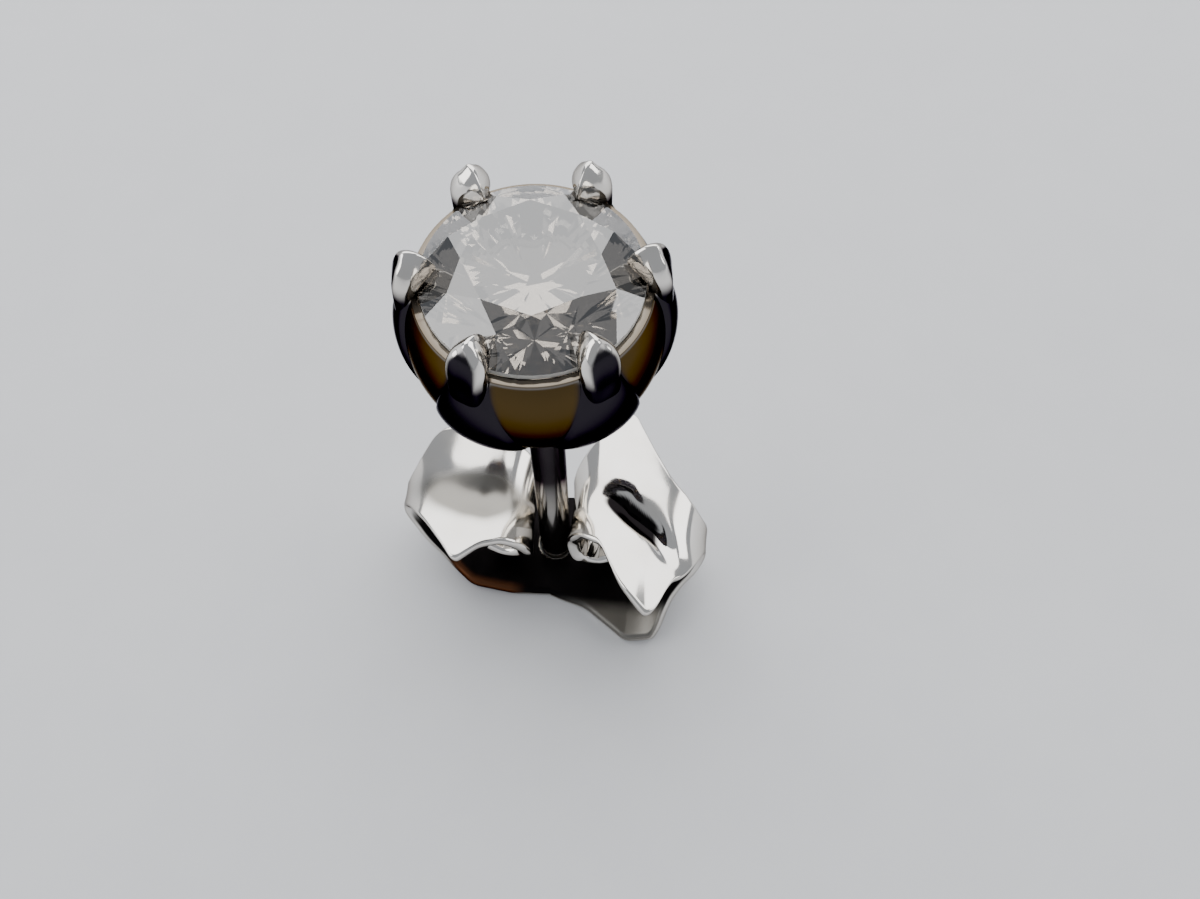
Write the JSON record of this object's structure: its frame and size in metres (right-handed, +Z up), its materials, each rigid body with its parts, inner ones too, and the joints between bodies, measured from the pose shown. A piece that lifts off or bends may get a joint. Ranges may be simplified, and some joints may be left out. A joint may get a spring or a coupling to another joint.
{
  "type": "stud earring",
  "caption": "Stud earring: round faceted clear stone in a six-claw tulip cup on a straight post, held by a butterfly clutch with two rolled wings.",
  "frame": {"origin": "where the post's axis meets the surface that the earring stands on, under the clutch", "axes": "+Z up along the post towards the stone, +X through the claw at one side, -Y to the front, between two claws"},
  "size_m": [0.0065, 0.0046, 0.0111],
  "materials": {
    "polished_white_metal": "mirror-polished white precious metal",
    "clear_stone": "clear colourless stone with flat polished facets"
  },
  "bodies": {
    "clutch": {"clutch": "polished_white_metal"},
    "stud": {"setting": "polished_white_metal", "stone": "clear_stone"}
  },
  "joints": [
    {"name": "clutch_slide", "type": "slide", "parent": "clutch", "child": "stud", "axis": [0, 0, 1], "range_m": [-0.0043, 0.0032]}
  ]
}
